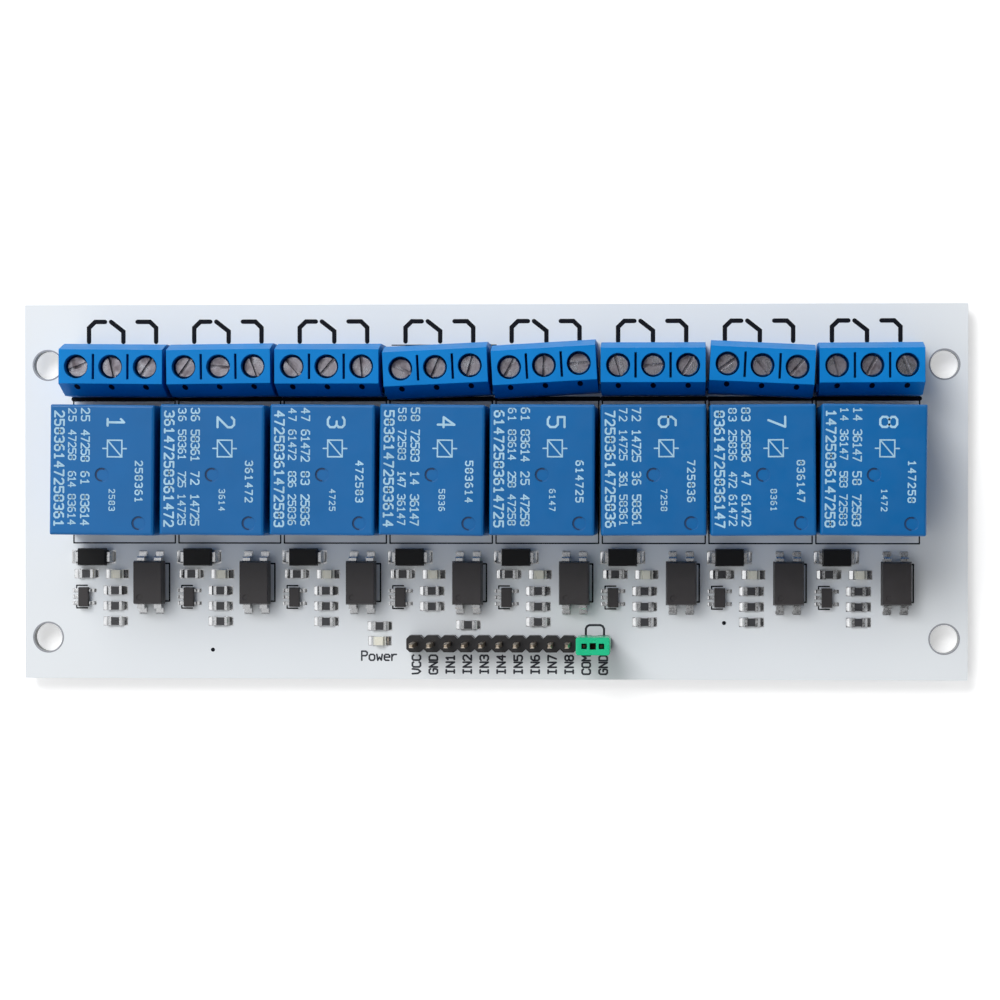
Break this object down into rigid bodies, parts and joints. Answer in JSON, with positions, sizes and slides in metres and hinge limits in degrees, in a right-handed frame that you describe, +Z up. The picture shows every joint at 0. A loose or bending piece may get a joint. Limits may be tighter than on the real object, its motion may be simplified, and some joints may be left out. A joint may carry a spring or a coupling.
{
  "type": "relay module board",
  "caption": "Relay module board: cube relays in a row between screw terminals and a strip of optocoupler drivers, with a pin header and jumper in front and corner mounting holes.",
  "frame": {"origin": "middle of the four mounting holes, on the underside of the circuit board", "axes": "+X along the board's length, +Y towards the screw terminals, +Z up from the board through the relays"},
  "size_m": [0.141, 0.056, 0.0185],
  "materials": {
    "board_white": "white solder mask, satin",
    "relay_blue": "glossy, with a little draft",
    "base_plastic": "matte",
    "terminal_blue": "satin",
    "steel": "pressed sheet",
    "core_iron": "turned",
    "bobbin_plastic": "matte",
    "winding_copper": "enamelled copper wire",
    "spring_bronze": "thin rolled strip",
    "contact_brass": "pressed strip",
    "tinned_pins": "tinned",
    "screw_steel": "zinc plated",
    "frame_brass": "tinned brass",
    "guard_steel": "spring sheet",
    "chip_grey": "moulded, faintly worn",
    "chip_black": "moulded",
    "lens_cream": "clear resin over the chip",
    "led_green": "laminate",
    "resistor_black": "glazed",
    "header_black": "moulded",
    "pin_metal": "tinned brass",
    "jumper_green": "slightly translucent",
    "clip_brass": "thin strip",
    "solder": "smooth solder"
  },
  "bodies": {
    "board": {"circuit_board": "board_white", "relay_case_1": "relay_blue", "relay_case_2": "relay_blue", "relay_case_3": "relay_blue", "relay_case_4": "relay_blue", "relay_case_5": "relay_blue", "relay_case_6": "relay_blue", "relay_case_7": "relay_blue", "relay_case_8": "relay_blue", "terminal_housing_1": "terminal_blue", "terminal_housing_2": "terminal_blue", "terminal_housing_3": "terminal_blue", "terminal_housing_4": "terminal_blue", "terminal_housing_5": "terminal_blue", "terminal_housing_6": "terminal_blue", "terminal_housing_7": "terminal_blue", "terminal_housing_8": "terminal_blue", "relay_bases": "base_plastic", "relay_yokes": "steel", "relay_cores": "core_iron", "relay_bobbins": "bobbin_plastic", "relay_windings": "winding_copper", "relay_no_blades": "contact_brass", "relay_nc_blades": "contact_brass", "relay_pins": "tinned_pins", "terminal_screws": "screw_steel", "terminal_frames": "frame_brass", "wire_guards": "guard_steel", "optocoupler_bodies": "chip_grey", "optocoupler_leads": "tinned_pins", "diode_bodies": "chip_black", "diode_leads": "tinned_pins", "driver_bodies": "chip_grey", "driver_leads": "tinned_pins", "led_lenses": "lens_cream", "led_bases": "led_green", "resistor_chips": "resistor_black", "resistor_caps": "tinned_pins", "header_strip": "header_black", "header_pins": "pin_metal", "solder_joints": "solder"},
    "relay_armature_1": {"armature_1": "steel", "contact_spring_1": "spring_bronze"},
    "relay_armature_2": {"armature_2": "steel", "contact_spring_2": "spring_bronze"},
    "relay_armature_3": {"armature_3": "steel", "contact_spring_3": "spring_bronze"},
    "relay_armature_4": {"armature_4": "steel", "contact_spring_4": "spring_bronze"},
    "relay_armature_5": {"armature_5": "steel", "contact_spring_5": "spring_bronze"},
    "relay_armature_6": {"armature_6": "steel", "contact_spring_6": "spring_bronze"},
    "relay_armature_7": {"armature_7": "steel", "contact_spring_7": "spring_bronze"},
    "relay_armature_8": {"armature_8": "steel", "contact_spring_8": "spring_bronze"},
    "jumper": {"jumper_housing": "jumper_green", "jumper_clip": "clip_brass"}
  },
  "joints": [
    {"name": "armature_1_hinge", "type": "hinge", "parent": "board", "child": "relay_armature_1", "pos_m": [-0.05569, -0.00245, 0.0128], "axis": [0.9999, -0.0105, 0], "range_deg": [-2.5, 0], "stiffness_Nm_per_rad": 0.02, "springref_deg": 5.73, "deforming": ["contact_spring_1"]},
    {"name": "armature_2_hinge", "type": "hinge", "parent": "board", "child": "relay_armature_2", "pos_m": [-0.0397, -0.00245, 0.0128], "axis": [1, -0.0087, 0], "range_deg": [-2.5, 0], "stiffness_Nm_per_rad": 0.02, "springref_deg": 5.73, "deforming": ["contact_spring_2"]},
    {"name": "armature_3_hinge", "type": "hinge", "parent": "board", "child": "relay_armature_3", "pos_m": [-0.02371, -0.00245, 0.0128], "axis": [1, -0.007, 0], "range_deg": [-2.5, 0], "stiffness_Nm_per_rad": 0.02, "springref_deg": 5.73, "deforming": ["contact_spring_3"]},
    {"name": "armature_4_hinge", "type": "hinge", "parent": "board", "child": "relay_armature_4", "pos_m": [-0.00792, -0.00245, 0.0128], "axis": [0.9999, -0.0122, 0], "range_deg": [-2.5, 0], "stiffness_Nm_per_rad": 0.02, "springref_deg": 5.73, "deforming": ["contact_spring_4"]},
    {"name": "armature_5_hinge", "type": "hinge", "parent": "board", "child": "relay_armature_5", "pos_m": [0.008, -0.00245, 0.0128], "axis": [1, -0.0052, 0], "range_deg": [-2.5, 0], "stiffness_Nm_per_rad": 0.02, "springref_deg": 5.73, "deforming": ["contact_spring_5"]},
    {"name": "armature_6_hinge", "type": "hinge", "parent": "board", "child": "relay_armature_6", "pos_m": [0.02406, -0.00245, 0.0128], "axis": [1, 0.0035, 0], "range_deg": [-2.5, 0], "stiffness_Nm_per_rad": 0.02, "springref_deg": 5.73, "deforming": ["contact_spring_6"]},
    {"name": "armature_7_hinge", "type": "hinge", "parent": "board", "child": "relay_armature_7", "pos_m": [0.03976, -0.00245, 0.0128], "axis": [1, 0.007, 0], "range_deg": [-2.5, 0], "stiffness_Nm_per_rad": 0.02, "springref_deg": 5.73, "deforming": ["contact_spring_7"]},
    {"name": "armature_8_hinge", "type": "hinge", "parent": "board", "child": "relay_armature_8", "pos_m": [0.05547, -0.00245, 0.0128], "axis": [0.9999, -0.0105, 0], "range_deg": [-2.5, 0], "stiffness_Nm_per_rad": 0.02, "springref_deg": 5.73, "deforming": ["contact_spring_8"]},
    {"name": "jumper_pull", "type": "slide", "parent": "board", "child": "jumper", "axis": [0, 0, 1], "range_m": [0, 0.006]}
  ]
}
